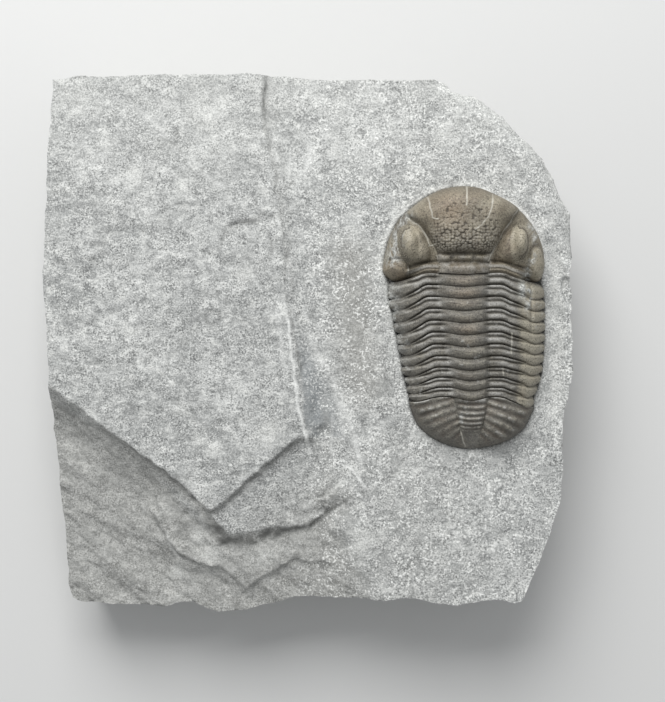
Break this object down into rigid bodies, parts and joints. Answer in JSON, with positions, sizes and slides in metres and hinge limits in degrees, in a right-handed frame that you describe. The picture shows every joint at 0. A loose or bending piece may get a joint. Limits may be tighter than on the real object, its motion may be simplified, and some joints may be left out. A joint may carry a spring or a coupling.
{
  "type": "eldredgeops trilobite fossil",
  "caption": "Outstretched trilobite with tubercled head, ringed thorax and ribbed tail, standing out of a broken slab of grey limestone.",
  "frame": {"origin": "middle of the slab's outline, on its flat underside", "axes": "+Z out of the face that the fossil lies on, +Y towards the edge that the head points to, +X to the right of the face"},
  "size_m": [0.101, 0.1032, 0.0325],
  "materials": {
    "limestone": "matt, fine crystalline speckle",
    "calcite_shell": "satin brown calcite, tubercled",
    "calcite_shell_thorax": "satin grey-brown calcite"
  },
  "bodies": {
    "root": {"matrix_slab": "limestone", "head_shield": "calcite_shell", "thorax_segment_01": "calcite_shell_thorax", "thorax_segment_02": "calcite_shell_thorax", "thorax_segment_03": "calcite_shell_thorax", "thorax_segment_04": "calcite_shell_thorax", "thorax_segment_05": "calcite_shell_thorax", "thorax_segment_06": "calcite_shell_thorax", "thorax_segment_07": "calcite_shell_thorax", "thorax_segment_08": "calcite_shell_thorax", "thorax_segment_09": "calcite_shell_thorax", "thorax_segment_10": "calcite_shell_thorax", "thorax_segment_11": "calcite_shell_thorax", "tail_shield": "calcite_shell_thorax"}
  },
  "joints": []
}
